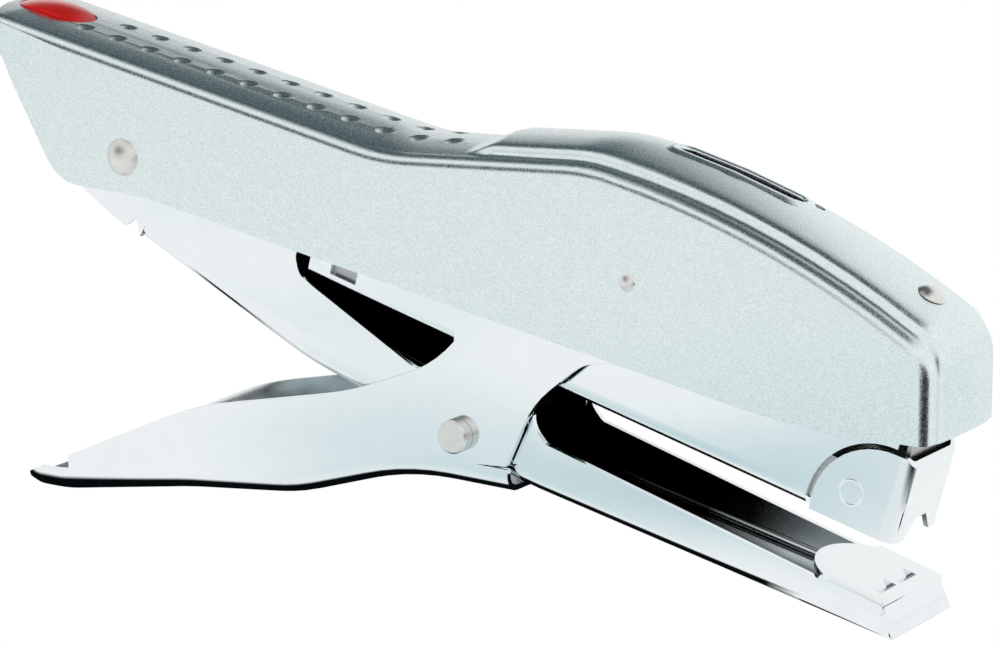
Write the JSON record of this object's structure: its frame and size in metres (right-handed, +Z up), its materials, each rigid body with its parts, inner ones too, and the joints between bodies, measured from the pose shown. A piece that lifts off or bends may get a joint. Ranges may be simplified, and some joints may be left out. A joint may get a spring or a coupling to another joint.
{
  "type": "object",
  "caption": "Hand-held plier stapler with a silver painted cover, chrome anvil arm and squeeze lever, hinged staple magazine, red release button and staple level indicator",
  "frame": {"origin": "on the table, under the middle of the stapler as it stands on its lever and arm tip with the jaws open", "axes": "+X towards the nose along the length, +Y across the width, +Z up"},
  "size_m": [0.1826, 0.0264, 0.0833],
  "materials": {
    "silver_paint": "metallic flake, semi-gloss",
    "chrome": "polished",
    "satin_steel": "satin",
    "spring_steel": "satin",
    "staple_wire": "bright",
    "black_plastic": "matte",
    "red_plastic": "satin",
    "red_gloss": "gloss"
  },
  "bodies": {
    "body": {"top_cover": "silver_paint", "driver_blade": "spring_steel", "driver_rivet": "satin_steel", "rear_pivot_pin": "satin_steel", "pivot_washers": "satin_steel", "fulcrum_pin": "satin_steel", "indicator_scale": "black_plastic", "latch_bracket": "satin_steel", "latch_pin": "satin_steel", "latch_spring": "spring_steel", "magazine_spring": "spring_steel", "arm_spring": "spring_steel"},
    "arm": {"anvil_arm": "chrome", "anvil_plate": "chrome", "lever_pin": "satin_steel", "lever_washers": "satin_steel"},
    "lever": {"lever_handle": "chrome"},
    "magazine": {"magazine_housing": "chrome", "spring_bridge": "satin_steel", "staple_channel": "satin_steel", "nose_piece": "chrome", "staple_rail": "satin_steel", "pusher_rod": "satin_steel", "staple_strip": "staple_wire", "pusher_spring": "spring_steel"},
    "pusher": {"staple_pusher": "black_plastic", "indicator_flag": "spring_steel"},
    "pointer": {"indicator_pointer": "red_plastic"},
    "button": {"release_button": "red_gloss"},
    "latch": {"release_latch": "satin_steel"}
  },
  "joints": [
    {"name": "arm_pivot", "type": "hinge", "parent": "body", "child": "arm", "pos_m": [-0.06, 0, 0.0605], "axis": [0, -1, 0], "range_deg": [0, 6.4], "stiffness_Nm_per_rad": 4, "springref_deg": -14.32},
    {"name": "lever_pivot", "type": "hinge", "parent": "arm", "child": "lever", "pos_m": [0.0065, 0, 0.022], "axis": [0, -1, 0], "range_deg": [-18.56, 0]},
    {"name": "magazine_lift", "type": "hinge", "parent": "body", "child": "magazine", "pos_m": [-0.06, 0, 0.0605], "axis": [0, -1, 0], "range_deg": [0, 3.2], "deforming": ["magazine_spring"]},
    {"name": "pusher_slide", "type": "slide", "parent": "magazine", "child": "pusher", "axis": [0.9668, 0, -0.2554], "range_m": [-0.0095, 0], "stiffness_N_per_m": 60, "springref_m": 0.02, "deforming": ["pusher_spring"]},
    {"name": "indicator_slide", "type": "slide", "parent": "body", "child": "pointer", "axis": [0.9526, 0, -0.3043], "range_m": [-0.0095, 0]},
    {"name": "button_press", "type": "slide", "parent": "body", "child": "button", "axis": [-0.1823, 0, -0.9832], "range_m": [0, 0.002], "stiffness_N_per_m": 600, "springref_m": -0.002},
    {"name": "latch_release", "type": "hinge", "parent": "body", "child": "latch", "pos_m": [-0.068, 0, 0.0727], "axis": [0, -1, 0], "range_deg": [0, 9.05], "deforming": ["latch_spring"]}
  ],
  "couplings": [
    {"joint": "lever_pivot", "follows": "arm_pivot", "ratio": -2.9},
    {"joint": "magazine_lift", "follows": "arm_pivot", "ratio": 0.5},
    {"joint": "indicator_slide", "follows": "pusher_slide", "ratio": 1},
    {"joint": "latch_release", "follows": "button_press", "rad_per_m": 79}
  ]
}
